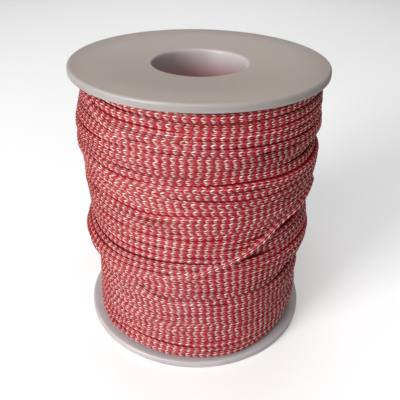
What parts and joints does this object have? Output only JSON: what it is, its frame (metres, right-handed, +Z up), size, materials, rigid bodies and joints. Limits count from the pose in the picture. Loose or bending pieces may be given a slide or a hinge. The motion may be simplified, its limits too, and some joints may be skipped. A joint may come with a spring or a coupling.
{
  "type": "spool of braided fishing line",
  "caption": "Moulded plastic spool with a spindle bore, wound full with braided cord in crossing turns; it stands on its flange or turns on a rod.",
  "frame": {"origin": "centre of the lower flange's face, in the plane that the spool stands on", "axes": "+Z up along the spool's axis; -Y is the side that the picture shows, +X to its right"},
  "size_m": [0.076, 0.076, 0.088],
  "materials": {
    "spool_plastic": "satin, slightly milky off-white moulding",
    "braided_cord": "tight diamond braid, red with cream carriers"
  },
  "bodies": {
    "root": {"spool": "spool_plastic", "cord_winding": "braided_cord"}
  },
  "joints": []
}
